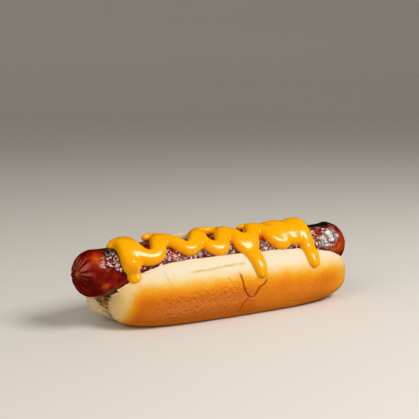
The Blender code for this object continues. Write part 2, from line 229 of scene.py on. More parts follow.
def noise_at(points, size, octaves, seed):
    """Smooth noise from about -1 to 1 at each place, with features of that size."""
    offset = Vector((seed * 17.3, seed * -9.1, seed * 5.7))
    scale = 1.0 / size
    return np.array([noise.fractal(Vector(p) * scale + offset, 1.0, 2.0, octaves) for p in points])


def cells_at(points, size, seed):
    """Distance to the nearest and to the second nearest scattered point, as shares of their spacing."""
    offset = Vector((seed * 11.9, seed * 3.3, seed * -7.7))
    scale = 1.0 / size
    found = [noise.voronoi(Vector(p) * scale + offset)[0] for p in points]
    return np.array([(near, next_near) for near, next_near, _, _ in found])


def sausage_axis(x):
    """(y, z) of the sausage's axis."""
    lean = np.maximum(0.0, 1.0 - (SAUSAGE_HALF + x) / SAUSAGE_BEND_LENGTH)
    curl = np.maximum(0.0, 1.0 - (SAUSAGE_HALF - x) / SAUSAGE_LIFT_LENGTH)
    return SAUSAGE_Y - SAUSAGE_BEND * lean ** 2, SAUSAGE_Z + SAUSAGE_LIFT * curl ** 2


def sausage_distance(points):
    """How far each place is outside the sausage's skin, and its angle round the sausage."""
    y, z = sausage_axis(points[:, 0])
    across, up = points[:, 1] - y, points[:, 2] - z
    beyond = np.maximum(np.abs(points[:, 0]) - (SAUSAGE_HALF - SAUSAGE_TIP), 0.0)
    reach = np.sqrt(across ** 2 + up ** 2 + (beyond * SAUSAGE_RADIUS / SAUSAGE_TIP) ** 2)
    return reach - SAUSAGE_RADIUS, np.degrees(np.arctan2(across, up))


def bun_end(x, y):
    """(length, squareness) of the end of the bun on the side of x."""
    share = smoothstep(*BUN_END_BLEND, y)
    left = x < 0.0
    length = np.where(left, mix(*BUN_LEFT_ENDS, share), mix(*BUN_RIGHT_ENDS, share))
    square = np.where(left, mix(*BUN_LEFT_SQUARENESS, share), mix(*BUN_RIGHT_SQUARENESS, share))
    return length, square


def bun_top(y):
    share = smoothstep(-BUN_CROWN_BLEND * BUN_FRONT, BUN_CROWN_BLEND * BUN_BACK, y)
    return mix(BUN_FRONT_TOP, BUN_BACK_TOP, share)


def loaf_level(points):
    """1 on the loaf's skin, less inside it and more outside."""
    x, y, z = points.T
    length, square = bun_end(x, y)
    half = np.where(y > 0.0, BUN_BACK, BUN_FRONT)
    height = np.where(z > BUN_BELLY, bun_top(y) - BUN_BELLY, BUN_BELLY + BUN_PRESS)
    section = (np.abs(y / half) ** BUN_SQUARENESS
               + np.abs((z - BUN_BELLY) / height) ** BUN_SQUARENESS) ** (1.0 / BUN_SQUARENESS)
    return (section ** square + np.abs(x / length) ** square) ** (1.0 / square)


def loaf_distance(points):
    """How far each place is outside the loaf, and the way out of it."""
    step = 0.02
    level = loaf_level(points)
    rise = np.stack([(loaf_level(points + move) - level) / step for move in step * np.eye(3)], axis=1)
    steep = np.linalg.norm(rise, axis=1) + 1e-9
    return (level - 1.0) / steep, rise / steep[:, None]


def slit_distance(points):
    """How far each place is outside the slit and the sausage's channel."""
    across = np.abs(points[:, 1] - SAUSAGE_Y)
    rise = SAUSAGE_Z - SLIT_FOOT
    slope = math.hypot(rise, SLIT_HALF_WIDTH)
    wedge = (across * rise - (points[:, 2] - SLIT_FOOT) * SLIT_HALF_WIDTH) / slope
    slit = np.maximum(across - SLIT_HALF_WIDTH, wedge)
    return np.minimum(slit, sausage_distance(points)[0] - GAP)


def path_distance(points, path):
    """Distance from each place to a path of straight pieces, and the share of the path passed there."""
    path = np.array(path, float)
    spans = np.linalg.norm(np.diff(path, axis=0), axis=1)
    passed = np.concatenate([[0.0], np.cumsum(spans)]) / spans.sum()
    best = np.full(len(points), 1e9)
    share = np.zeros(len(points))
    for i, span in enumerate(spans):
        along = path[i + 1] - path[i]
        t = np.clip((points - path[i]) @ along / span ** 2, 0.0, 1.0)
        away = np.linalg.norm(points - path[i] - t[:, None] * along, axis=1)
        closer = away < best
        best[closer] = away[closer]
        share[closer] = mix(passed[i], passed[i + 1], t[closer])
    return best, share


def on_sausage(x, degrees):
    """(place on the sausage's skin, way out of it)."""
    y, z = sausage_axis(np.array([x]))
    angle = math.radians(degrees)
    out = np.array([0.0, math.sin(angle), math.cos(angle)])
    return np.array([x, y[0], z[0]]) + SAUSAGE_RADIUS * out, out


def on_skin(x, z):
    """(place on the lower half's skin at x and z, way out of it)."""
    place = np.array([[x, -BUN_FRONT, z]])
    for _ in range(SKIN_STEPS):
        away, out = loaf_distance(place)
        place[0, 1] += SKIN_STEP * away[0]
    return place[0], out[0]


# Meshes


def add_object(name, data):
    made = bpy.data.objects.new(name, data)
    bpy.context.scene.collection.objects.link(made)
    return made


def new_object(name, points, faces):
    """An object with that mesh, its places given in mm, with every face turned outwards."""
    mesh = bpy.data.meshes.new(name)
    mesh.from_pydata([tuple(p) for p in np.asarray(points) * MM], [], faces)
    shape = bmesh.new()
    shape.from_mesh(mesh)
    bmesh.ops.recalc_face_normals(shape, faces=shape.faces)
    shape.to_mesh(mesh)
    shape.free()
    return add_object(name, mesh)


def places(obj):
    found = np.empty(len(obj.data.vertices) * 3)
    obj.data.vertices.foreach_get("co", found)
    return found.reshape(-1, 3) / MM


def normals(obj):
    found = np.empty(len(obj.data.vertices) * 3, np.float32)
    obj.data.vertices.foreach_get("normal", found)
    return found.reshape(-1, 3).astype(float)


def set_places(obj, points):
    obj.data.vertices.foreach_set("co", (points * MM).ravel())
    obj.data.update()


def set_fields(obj, fields):
    for name, values in fields.items():
        made = obj.data.attributes.new(name, "FLOAT", "POINT")
        made.data.foreach_set("value", np.asarray(values, np.float32))


def apply_modifiers(obj):
    graph = bpy.context.evaluated_depsgraph_get()
    mesh = bpy.data.meshes.new_from_object(obj.evaluated_get(graph))
    obj.modifiers.clear()
    old = obj.data
    obj.data = mesh
    bpy.data.meshes.remove(old)


def remesh(obj, voxel, smoothing):
    step = obj.modifiers.new("merge", "REMESH")
    step.mode = "VOXEL"
    step.voxel_size = voxel * MM
    soften = obj.modifiers.new("soften", "SMOOTH")
    soften.factor = 0.5
    soften.iterations = smoothing
    apply_modifiers(obj)


def tube_faces(rings, sides, first=0):
    """Faces of a closed tube: rings of vertices, then one vertex at each end."""
    faces = []
    for i in range(rings - 1):
        for j in range(sides):
            k = (j + 1) % sides
            a, b = first + i * sides, first + (i + 1) * sides
            faces.append((a + j, b + j, b + k, a + k))
    near, far = first + rings * sides, first + rings * sides + 1
    last = first + (rings - 1) * sides
    for j in range(sides):
        k = (j + 1) % sides
        faces.append((first + k, near, first + j))
        faces.append((last + j, far, last + k))
    return faces


def tube(points, radii, sides):
    """Vertices of a closed tube with round ends along points, with its own radius at each."""
    points = np.asarray(points, float)
    along = np.gradient(points, axis=0)
    along /= np.linalg.norm(along, axis=1)[:, None]
    side = np.cross(along, (0.0, 0.0, 1.0))
    for i in range(1, len(side)):
        if side[i] @ side[i - 1] < 0.0:
            side[i] *= -1.0
    side /= np.linalg.norm(side, axis=1)[:, None] + 1e-12
    up = np.cross(side, along)
    turn = np.linspace(0.0, 2.0 * math.pi, sides, endpoint=False)
    leans = [0.5 * math.pi * i / (TUBE_CAPS + 1) for i in range(1, TUBE_CAPS + 1)]
    rings = [(points[0] - along[0] * radii[0] * math.sin(lean), radii[0] * math.cos(lean), 0)
             for lean in leans[::-1]]
    rings += [(points[i], radii[i], i) for i in range(len(points))]
    rings += [(points[-1] + along[-1] * radii[-1] * math.sin(lean), radii[-1] * math.cos(lean), -1)
              for lean in leans]
    drawn = [middle + radius * (np.cos(turn)[:, None] * side[i] + np.sin(turn)[:, None] * up[i])
             for middle, radius, i in rings]
    ends = [points[0] - along[0] * radii[0], points[-1] + along[-1] * radii[-1]]
    return np.concatenate(drawn + [np.array(ends)]), len(rings)


# Sausage


def sausage_mesh():
    turn = np.linspace(0.0, 2.0 * math.pi, SAUSAGE_SIDES, endpoint=False)
    lean = np.linspace(0.0, 0.5 * math.pi, TIP_RINGS + 1)[1:]
    inner = SAUSAGE_HALF - SAUSAGE_TIP
    tip = SAUSAGE_HALF - SAUSAGE_TIP * (1.0 - np.cos(lean))
    middle = np.linspace(-inner, inner, SAUSAGE_RINGS + 1)[1:-1]
    x = np.concatenate([-tip, middle, tip[::-1]])
    radius = SAUSAGE_RADIUS * np.concatenate([np.sin(lean), np.ones(len(middle)), np.sin(lean)[::-1]])
    y, z = sausage_axis(x)
    step = 0.01
    slope_y = (sausage_axis(x + step)[0] - y) / step
    slope_z = (sausage_axis(x + step)[1] - z) / step
    points = []
    for i in range(len(x)):
        out_y, out_z = np.sin(turn) * radius[i], np.cos(turn) * radius[i]
        back = -(out_y * slope_y[i] + out_z * slope_z[i])
        points.append(np.stack([x[i] + back, y[i] + out_y, z[i] + out_z], axis=1))
    ends = [(end, *[v[0] for v in sausage_axis(np.array([end]))]) for end in (-SAUSAGE_HALF, SAUSAGE_HALF)]
    made = new_object("sausage_dressed", np.concatenate(points + [np.array(ends)]),
                      tube_faces(len(x), SAUSAGE_SIDES))
    height, fields = sausage_relief(places(made))
    set_places(made, places(made) + normals(made) * height[:, None])
    set_fields(made, fields)
    return made


def patches_at(points, angle, patches):
    """The strongest of the patches at each place: 1 at a patch's middle, 1/e on its edge."""
    found = np.zeros(len(points))
    for x, degrees, length, width in patches:
        across = np.radians((angle - degrees + 180.0) % 360.0 - 180.0) * SAUSAGE_RADIUS
        found = np.maximum(found, np.exp(-((points[:, 0] - x) / length) ** 2 - (across / width) ** 2))
    return found


def knot_relief(points, side, knot, seed):
    """(height, nearness, painted shade in the creases, painted highlight on the ridges' upper side) round one
    end's knot: a knob, and creases that fan out.
    """
    y, z = sausage_axis(np.array([side * SAUSAGE_HALF]))
    middle = np.array([side * (SAUSAGE_HALF - SAUSAGE_TIP), y[0], z[0]])
    way = (points - middle) / np.array([SAUSAGE_TIP, SAUSAGE_RADIUS, SAUSAGE_RADIUS])
    way /= np.linalg.norm(way, axis=1)[:, None] + 1e-9
    knot = np.array(knot) / np.linalg.norm(knot)
    across = np.cross(knot, (0.0, 0.0, 1.0))
    across /= np.linalg.norm(across)
    up = np.cross(across, knot)
    lean = np.degrees(np.arccos(np.clip(way @ knot, -1.0, 1.0)))
    turn = np.arctan2(way @ up, way @ across)
    ring = np.stack([np.cos(turn), np.sin(turn), np.zeros(len(turn))], axis=1)
    wander = (0.30 * noise_at(ring, 0.8, octaves=2, seed=seed)
              + 0.05 * noise_at(points, 3.0, octaves=1, seed=seed + 1.0))
    length = PUCKER_REACH * (1.0 + 0.45 * noise_at(ring, 0.35, octaves=1, seed=seed + 2.0))
    crest = np.abs(np.sin(PUCKERS * (turn + wander)))
    reach = smoothstep(5.0, 13.0, lean) * smoothstep(length, 0.45 * length, lean)
    uneven = 0.75 + 0.5 * noise_at(ring, 0.25, octaves=1, seed=seed + 3.0)
    # The fold sinks the creases, and also sets the painted shade in them.
    fold = reach * uneven * (1.0 - crest) ** 2.0
    pinch = -0.7 * np.exp(-((lean - 10.0) / 5.0) ** 2)
    knob = np.exp(-(lean / 6.5) ** 2) * (0.6 + 0.5 * noise_at(points, 1.1, octaves=2, seed=seed + 4.0))
    # Painted highlight along the upper side of the ridges between creases.
    ridge_highlights = reach * crest ** 4 * smoothstep(-0.3, 0.3, way @ up)
    return pinch + knob - PUCKER_DEPTH * fold, np.exp(-(lean / 9.0) ** 2), fold, ridge_highlights


def sausage_relief(points):
    """Height of the sausage's surface over its plain form at each place, and the fields that colour it."""
    _, angle = sausage_distance(points)
    x = points[:, 0]
    ragged = noise_at(points, 3.2, octaves=3, seed=11.0)
    char = patches_at(points, angle, CHAR)
    char = smoothstep(0.38, 0.72, char + 0.26 * ragged)
    glow = patches_at(points, angle, GLOW)
    # Blisters: raised folds in the skin, and a painted silver sheen over them.
    blister_and_sheen = smoothstep(0.3, 0.6, patches_at(points, angle, BLISTER_AND_SHEEN) + 0.15 * ragged)
    height = (0.22 * noise_at(points, 17.0, octaves=2, seed=12.0)
              + 0.07 * noise_at(points, 4.0, octaves=2, seed=13.0))
    height += char * (0.22 * noise_at(points, 1.7, octaves=2, seed=14.0) - 0.1)
    skew = points @ np.array([(0.75, 0.25, -0.2), (0.2, 1.6, 0.9), (0.3, -0.9, 1.6)])
    folds = 1.0 - np.abs(noise_at(skew, 4.2, octaves=2, seed=15.0)) * 2.2
    height += blister_and_sheen * 0.38 * np.clip(folds, 0.0, 1.0)
    # A band down the front's lower side, and the SPARKLE patches, where the skin is bumped, pitted and given
    # pale glints: the glints are a painted highlight.
    speckle_and_glints = smoothstep(-28.0, -50.0, angle) * smoothstep(-110.0, -85.0, angle) * smoothstep(-58.0, -50.0, x)
    speckle_and_glints = np.maximum(0.75 * speckle_and_glints * smoothstep(70.0, 60.0, x), patches_at(points, angle, SPARKLE))
    height += speckle_and_glints * 0.10 * noise_at(points, 1.6, octaves=2, seed=16.0)
    hump_x, degrees, length, width = HUMP
    hump = np.exp(-((x - hump_x) / length) ** 2 - ((angle - degrees) / width) ** 2)
    height += HUMP_HEIGHT * hump
    char = np.maximum(char, 0.9 * smoothstep(0.3, 0.7, hump))
    knots, pucker_shade, ridge_highlight = np.zeros((3, len(points)))
    for side, knot, seed in ((-1.0, LEFT_KNOT, 21.0), (1.0, RIGHT_KNOT, 31.0)):
        end = side * x > 0.5 * SAUSAGE_HALF
        found, knots[end], pucker_shade[end], ridge_highlight[end] = knot_relief(points[end], side, knot, seed)
        height[end] += found
    return height, {"char": char, "glow": glow, "blister_and_sheen": blister_and_sheen, "knot": knots, "pucker_shade": pucker_shade,
                    "ridge_highlight": ridge_highlight, "speckle_and_glints": speckle_and_glints}


# Bun


def loaf_mesh():
    rings = []
    angle = np.linspace(0.0, 2.0 * math.pi, BUN_SIDES, endpoint=False)
    side, rise = np.cos(angle), np.sin(angle)
    across = np.sign(side) * np.abs(side) ** (2.0 / BUN_SQUARENESS)
    up = np.sign(rise) * np.abs(rise) ** (2.0 / BUN_SQUARENESS)
    half = np.where(across > 0.0, BUN_BACK, BUN_FRONT)
    for i in range(1, BUN_STATIONS):
        reach = math.sin(math.pi * (i / BUN_STATIONS - 0.5))
        y = across * half
        square = bun_end(np.full(BUN_SIDES, reach), y)[1]
        taper = np.maximum(1.0 - abs(reach) ** square, 0.0) ** (1.0 / square)
        y = y * taper
        height = np.where(up > 0.0, bun_top(y) - BUN_BELLY, BUN_BELLY + BUN_PRESS)
        z = np.maximum(BUN_BELLY + up * height * taper, 0.0)
        x = reach * bun_end(np.full(BUN_SIDES, reach), y)[0]
        rings.append(np.stack([x, y, z], axis=1))
    ends = [(-bun_end(-1.0, 0.0)[0], 0.0, BUN_BELLY), (bun_end(1.0, 0.0)[0], 0.0, BUN_BELLY)]
    return new_object("bun_dressed", np.concatenate(rings + [np.array(ends)]),
                      tube_faces(len(rings), BUN_SIDES))


def slit_mesh():
    outline = [(0.0, SLIT_FOOT), (SLIT_HALF_WIDTH, SAUSAGE_Z), (SLIT_HALF_WIDTH, SLIT_TOP),
               (-SLIT_HALF_WIDTH, SLIT_TOP), (-SLIT_HALF_WIDTH, SAUSAGE_Z)]
    points = [(x, SAUSAGE_Y + y, z) for x in (-SLIT_HALF_LENGTH, SLIT_HALF_LENGTH) for y, z in outline]
    faces = [(0, 1, 2, 3, 4), (9, 8, 7, 6, 5)]
    faces += [(i, i + 5, (i + 1) % 5 + 5, (i + 1) % 5) for i in range(5)]
    return new_object("slit", points, faces)


def channel_mesh():
    x = np.linspace(-SAUSAGE_HALF, SAUSAGE_HALF, 100)
    x = np.concatenate([[-SLIT_HALF_LENGTH], x, [SLIT_HALF_LENGTH]])
    y, z = sausage_axis(np.clip(x, -SAUSAGE_HALF, SAUSAGE_HALF))
    points, rings = tube(np.stack([x, y, z], axis=1), np.full(len(x), SAUSAGE_RADIUS + GAP), 96)
    return new_object("channel", points, tube_faces(rings, 96))


def refine(obj, chosen):
    """Splits every edge whose two ends are both chosen."""
    shape = bmesh.new()
    shape.from_mesh(obj.data)
    edges = [edge for edge in shape.edges if all(chosen[corner.index] for corner in edge.verts)]
    bmesh.ops.subdivide_edges(shape, edges=edges, cuts=1, use_grid_fill=True)
    shape.to_mesh(obj.data)
    shape.free()


def skin_path(path):
    return [on_skin(x, z)[0] for x, z in path]


def crease_relief(points, depth, width, path):
    """(height, painted shade) near a crease: a dip with a low shoulder each side, fading at both ends."""
    away, share = path_distance(points, skin_path(path))
    fade = smoothstep(0.0, 0.2, share) * np.maximum(smoothstep(1.0, 0.75, share), 0.6)
    dip = np.exp(-(away / width) ** 2) * fade
    shoulder = np.exp(-((away - SHOULDER_PLACE * width) / (SHOULDER_WIDTH * width)) ** 2) * fade
    return depth * (SHOULDER_RISE * shoulder - dip), dip * min(1.0, depth) ** 2


def between_creases(points):
    """1 between the two creases of the V, easing to 0 at its open top."""
    sides = [np.array(sorted((z, x) for x, z in path)).T for _, _, path in CREASES[:2]]
    (left_z, left_x), (right_z, right_x) = sides
    x, _, z = points.T
    inside = (smoothstep(-0.3, 0.5, x - np.interp(z, left_z, left_x))
              * smoothstep(-0.3, 0.5, np.interp(z, right_z, right_x) - x))
    near = np.minimum(*(path_distance(points, skin_path(path))[0] for _, _, path in CREASES[:2]))
    return inside * smoothstep(29.0, 22.0, z) * (points[:, 1] < -18.0) * mix(0.25, 1.0, np.exp(-near / 2.2))


def peel_relief(points):
    """(height, groove, strip) of the peeled skin: a raised strip, and a groove along its edge and its end."""
    x, y, z = points.T
    edge_x, edge_z = np.array(PEEL_EDGE).T
    step_z, step_x = np.array(sorted((z, x) for x, z in PEEL_STEP)).T
    over = z - np.interp(x, edge_x, edge_z)
    short = np.interp(z, step_z, step_x) - x
    strip = smoothstep(-0.35, 0.35, over) * smoothstep(-0.3, 0.3, short) * smoothstep(-52.0, -30.0, x)
    strip *= (y < -10.0) * (z > 28.0)
    below, share = path_distance(points, skin_path(PEEL_EDGE))
    groove = np.exp(-(below / 0.7) ** 2) * smoothstep(0.0, 0.2, share)
    beyond = path_distance(points, skin_path(PEEL_STEP))[0]
    groove = np.maximum(groove, 0.35 * np.exp(-(beyond / 0.4) ** 2))
    return PEEL_RISE * strip - 0.3 * groove, groove, strip


def browning_at(points):
    """How brown the crust is: pale along the lips and the left end, brown down the sides, and near the table
    drawn towards a set level.
    """
    x, y, z = points.T
    front = smoothstep(32.0, 14.0, z)
    left = smoothstep(-5.0, 4.5, x + 59.0 - 0.25 * (z - 18.0))
    front = mix(0.24 * smoothstep(34.0, 24.0, z), front, left) * mix(1.0, 0.86, smoothstep(4.0, 22.0, x))
    front *= mix(1.0, 0.6, smoothstep(62.0, 80.0, x))
    back = smoothstep(40.0, 22.0, z) * smoothstep(9.0, 19.0, y) * smoothstep(-76.0, -62.0, x)
    back = np.maximum(back, 0.12)
    brown = mix(front, back, smoothstep(-3.0, 4.0, y))
    # Near the table the browning is drawn towards a set level: low at the left end, higher further right.
    under = 0.62 * smoothstep(-66.0, -50.0, x) + 0.12
    return mix(brown, mix(brown, under, 0.7), smoothstep(5.0, 0.5, z))


def bun_relief(points):
    """Height of the bun's surface over its plain form at each place, and the fields that colour it."""
    away, _ = loaf_distance(points)
    wall = slit_distance(points)
    crumb = smoothstep(-0.3, -1.0, away) * smoothstep(3.0, 1.5, wall) * smoothstep(43.5, 39.5, points[:, 2])
    crust = 1.0 - crumb
    x, y, z = points.T
    height = crust * (0.34 * noise_at(points, 24.0, octaves=2, seed=1.0)
                      + 0.1 * noise_at(points, 8.0, octaves=2, seed=2.0))
    # The creases sink the skin, and a painted shade darkens them.
    crease_shade = np.zeros(len(points))
    low = y < -8.0
    for depth, width, path in CREASES:
        found, dark = crease_relief(points[low], depth, width, path)
        height[low] += found
        crease_shade[low] = np.maximum(crease_shade[low], dark)
    height[low] -= V_DROP * between_creases(points[low])
    found, groove, strip = peel_relief(points[low])
    height[low] += found
    # Painted shade along the seam between the halves at the left end, low down.
    seam_shade = np.exp(-((y - SAUSAGE_Y - 1.4 + 0.7 * noise_at(points, 3.0, octaves=2, seed=43.0)) / 1.1) ** 2)
    crease_shade = np.maximum(crease_shade, 0.8 * seam_shade * smoothstep(-60.0, -66.0, x) * smoothstep(12.0, 8.0, z))
    peel = np.zeros(len(points))
    peel[low] = strip
    grooves = np.zeros(len(points))
    grooves[low] = groove
    across = np.abs(z - LEATHER_MIDDLE - LEATHER_SLOPE * (np.minimum(x, 10.0) + 22.0)) / LEATHER_HALF
    across = across + 0.25 * noise_at(points, 5.0, octaves=2, seed=9.0)
    leather = smoothstep(-56.0, -38.0, x) * mix(1.0, 0.3, smoothstep(-4.0, 10.0, x))
    leather *= smoothstep(76.0, 50.0, x)
    leather *= smoothstep(1.1, 0.5, across) * (y < 0.0)
    cells = cells_at(points, PEBBLE, seed=3.0)
    pebble = smoothstep(0.0, 0.45, cells[:, 1] - cells[:, 0])
    height += leather * crust * LEATHER_DEPTH * (pebble - 0.6)
    torn = np.exp(-(away / 1.4) ** 2) * np.exp(-(wall / 1.4) ** 2)
    ragged = mix(0.22, 1.0, smoothstep(-54.0, -61.0, x) * smoothstep(28.0, 24.0, z))
    height += torn * ragged * 0.5 * noise_at(points, 1.6, octaves=2, seed=5.0)
    pores = cells_at(points, 2.8, seed=7.0)[:, 0]
    height -= crumb * (0.75 * smoothstep(0.5, 0.15, pores)
                       + 0.35 * (1.0 + noise_at(points, 6.0, octaves=2, seed=6.0)))
    fields = {"browning": browning_at(points), "crumb": crumb, "crease_shade": crease_shade, "groove": grooves,
              "peel": peel, "leather": leather, "tint": leather * smoothstep(19.0, 12.0, z), "torn": torn}
    return height, fields


def with_scallops(points):
    """Places along the torn edge of the lower half's left end, moved in and out in small scallops."""
    x, y, z = points.T
    away, wall = loaf_distance(points)[0], slit_distance(points)
    near = np.exp(-(away / 2.2) ** 2) * np.exp(-(wall / 1.7) ** 2)
    near *= smoothstep(-52.0, -59.0, x) * smoothstep(3.0, 0.0, y) * smoothstep(34.0, 29.0, z)
    wander = 0.7 * noise_at(points, 4.0, octaves=2, seed=41.0)
    lobes = np.abs(np.sin(math.pi * (z - 0.5 * x + wander) / SCALLOP_LENGTH)) - 0.5
    moved = points.copy()
    depth = SCALLOP_DEPTH * near * lobes * (1.0 + 0.8 * noise_at(points, 3.0, octaves=1, seed=42.0))
    moved -= depth[:, None] * SCALLOP_WAY
    return moved


def with_cleft(points):
    """Places drawn in at the left end between the halves, from the slit's foot down to the table."""
    x, y, z = points.T
    ragged = 1.1 * noise_at(points, 2.4, octaves=2, seed=44.0)
    narrow = np.exp(-(np.abs(y - SAUSAGE_Y + ragged) / CLEFT_HALF_WIDTH) ** 1.4)
    high = smoothstep(13.5, 7.5, z) * smoothstep(-1.5, 5.0, z)
    moved = points.copy()
    moved[:, 0] += CLEFT * narrow * high * smoothstep(-48.0, -69.0, x)
    return moved


def bun_mesh():
    made = loaf_mesh()
    for cutter in (slit_mesh(), channel_mesh()):
        step = made.modifiers.new("open", "BOOLEAN")
        step.operation = "DIFFERENCE"
        step.solver = "EXACT"
        step.object = cutter
        apply_modifiers(made)
        bpy.data.objects.remove(cutter)
    remesh(made, BUN_VOXEL, smoothing=3)
    points = places(made)
    x, y, z = points.T
    away, wall = loaf_distance(points)[0], slit_distance(points)
    lines = [path for _, _, path in CREASES] + [PEEL_EDGE, PEEL_STEP]
    fine = (np.abs(away) < TORN_REACH) & (wall < TORN_REACH) & (x < TORN_END)
    fine |= (np.abs(y - SAUSAGE_Y) < SEAM_REACH) & (x < SEAM_END) & (z < SEAM_TOP)
    for path in lines:
        fine |= path_distance(points, skin_path(path))[0] < FINE_REACH
    refine(made, fine)
    points = places(made)
    height, fields = bun_relief(points)
    points = with_cleft(with_scallops(points + normals(made) * height[:, None]))
    points[:, 2] = np.maximum(points[:, 2], 0.0)
    set_places(made, points)
    set_fields(made, fields)
    return made


# Mustard


def spline(controls, steps):
    """Rows along a smooth curve through rows of numbers."""
    rows = np.array(controls, float)
    rows = np.concatenate([[2.0 * rows[0] - rows[1]], rows, [2.0 * rows[-1] - rows[-2]]])
    found = []
    for i in range(1, len(rows) - 2):
        a, b, c, d = rows[i - 1:i + 3]
        for share in np.arange(steps) / steps:
            found.append(0.5 * (2.0 * b + (c - a) * share + (2.0 * a - 5.0 * b + 4.0 * c - d) * share ** 2
                                + (3.0 * b - a - 3.0 * c + d) * share ** 3))
    return np.array(found + [rows[-2]])


def bead(middles, outs, halves, heights):
    """Vertices of a round-ended bead, and how many rings it has: each ring is an ellipse about its middle."""
    along = np.gradient(middles, axis=0)
    along /= np.linalg.norm(along, axis=1)[:, None]
    side = np.cross(along, outs)
    side /= np.linalg.norm(side, axis=1)[:, None]
    up = np.cross(side, along)
    turn = np.linspace(0.0, 2.0 * math.pi, MUSTARD_SIDES, endpoint=False)
    over = np.sign(np.cos(turn)) * np.abs(np.cos(turn)) ** BEAD_FLATNESS
    rise = np.sign(np.sin(turn)) * np.abs(np.sin(turn)) ** BEAD_FLATNESS
    caps = np.radians(np.arange(CAP_STEP, 90.0, CAP_STEP))
    rings = [(0, -math.sin(lean), math.cos(lean)) for lean in caps[::-1]]
    rings += [(i, 0.0, 1.0) for i in range(len(middles))]
    rings += [(len(middles) - 1, math.sin(lean), math.cos(lean)) for lean in caps]
    drawn = []
    for i, beyond, share in rings:
        middle = middles[i] + along[i] * halves[i] * beyond
        ring = halves[i] * over[:, None] * side[i] + heights[i] * rise[:, None] * up[i]
        drawn.append(middle + share * ring)
    ends = [middles[0] - along[0] * halves[0], middles[-1] + along[-1] * halves[-1]]
    return np.concatenate(drawn + [np.array(ends)]), len(rings)


def bead_on_sausage(controls):
    rows = spline(controls, STEPS_PER_SPAN)
    found = [on_sausage(x, degrees) for x, degrees in rows[:, :2]]
    middles, outs = (np.array(kind) for kind in zip(*found))
    return bead(middles, outs, rows[:, 2], rows[:, 3])


def run_bead(first, rest):
    held = [on_sausage(first[0], first[1])] + [on_skin(x, z) for x, z, _, _ in rest]
    rows = [(*place, *out, half, height) for (place, out), (_, _, half, height)
            in zip(held, (first, *rest))]
    rows = spline(rows, STEPS_PER_SPAN)
    return bead(rows[:, :3], rows[:, 3:6], rows[:, 6], rows[:, 7])


def bridge_bead(controls):
    rows = spline(controls, STEPS_PER_SPAN)
    return bead(rows[:, :3], np.tile((0.0, 0.0, 1.0), (len(rows), 1)), rows[:, 3], rows[:, 3])


def seated(points):
    """Places moved out of what carries them, until they lie no deeper than the bed."""
    points = points.copy()
    for _ in range(SEATING_STEPS):
        depth, out = loaf_distance(points)
        inside = (depth < -MUSTARD_BED) & (slit_distance(points) > MUSTARD_BED)
        points[inside] -= (depth[inside] + MUSTARD_BED)[:, None] * out[inside]
    y, z = sausage_axis(points[:, 0])
    away = points - np.stack([points[:, 0], y, z], axis=1)
    reach = np.linalg.norm(away, axis=1)
    inside = reach < SAUSAGE_RADIUS - MUSTARD_BED
    points[inside] += away[inside] * ((SAUSAGE_RADIUS - MUSTARD_BED) / reach[inside] - 1.0)[:, None]
    return points


def mustard_mesh():
    beads = [bead_on_sausage(controls) for controls in (ZIGZAG, *LOBES)]
    beads += [bridge_bead(controls) for controls in BRIDGES]
    beads += [run_bead(first, rest) for first, rest in RUNS]
    points, faces = [], []
    for drawn, rings in beads:
        faces += tube_faces(rings, MUSTARD_SIDES, sum(len(p) for p in points))
        points.append(drawn)
    made = new_object("mustard_dressed", np.concatenate(points), faces)
    remesh(made, MUSTARD_VOXEL, smoothing=5)
    set_places(made, places(made) + MUSTARD_FILLING * normals(made))
    remesh(made, MUSTARD_VOXEL, smoothing=5)
    set_places(made, places(made) - MUSTARD_FILLING * normals(made))
    remesh(made, MUSTARD_VOXEL, smoothing=12)
    set_places(made, seated(places(made)))
    return made


# Materials


def new_material(name):
    made = bpy.data.materials.new(name)
    made.use_nodes = True
    tree = made.node_tree
    return made, tree, tree.nodes["Principled BSDF"]


def add_node(tree, kind, inputs, **settings):
    """A node with its settings made, and each input linked to a socket or set to a value."""
    made = tree.nodes.new(kind)
    for key, value in settings.items():
        setattr(made, key, value)
    for key, value in inputs.items():
        if isinstance(value, bpy.types.NodeSocket):
            tree.links.new(value, made.inputs[key])
        else:
            made.inputs[key].default_value = value
    return made


def field(tree, name):
    return add_node(tree, "ShaderNodeAttribute", {}, attribute_name=name).outputs["Fac"]


def maths(tree, operation, first, second=0.0, clamp=False):
    made = add_node(tree, "ShaderNodeMath", {0: first, 1: second}, operation=operation, use_clamp=clamp)
    return made.outputs[0]


def times(tree, first, second):
    return maths(tree, "MULTIPLY", first, second)


def blend(tree, share, first, second):
    """The first colour, turning into the second as the share goes from 0 to 1."""
    # A Mix node has its colours at inputs 6 and 7 and at output 2.
    return add_node(tree, "ShaderNodeMix", {0: share, 6: first, 7: second}, data_type="RGBA").outputs[2]


def ramp(tree, share, stops):
    made = add_node(tree, "ShaderNodeValToRGB", {0: share})
    row = made.color_ramp.elements
    while len(row) < len(stops):
        row.new(0.5)
    for element, (place, colour) in zip(row, stops):
        element.position = place
        element.color = (*colour, 1.0)
    return made.outputs[0]


def grey_ramp(tree, share, stops):
    return ramp(tree, share, [(place, (level,) * 3) for place, level in stops])


def here(tree):
    return add_node(tree, "ShaderNodeTexCoord", {}).outputs["Object"]


def rough(tree, place, size, detail, roughness=0.55, distortion=0.0):
    """Noise from 0 to 1 with features of that size in mm."""
    inputs = {"Vector": place, "Scale": PER_METRE / size, "Detail": detail, "Roughness": roughness,
              "Distortion": distortion}
    return add_node(tree, "ShaderNodeTexNoise", inputs).outputs["Fac"]


def centred_noise(tree, place, size, **settings):
    return maths(tree, "SUBTRACT", rough(tree, place, size, **settings), 0.5)


def cells(tree, place, size):
    """Distance to the nearest of the points scattered that many mm apart, as a share of it."""
    inputs = {"Vector": place, "Scale": PER_METRE / size}
    return add_node(tree, "ShaderNodeTexVoronoi", inputs).outputs["Distance"]


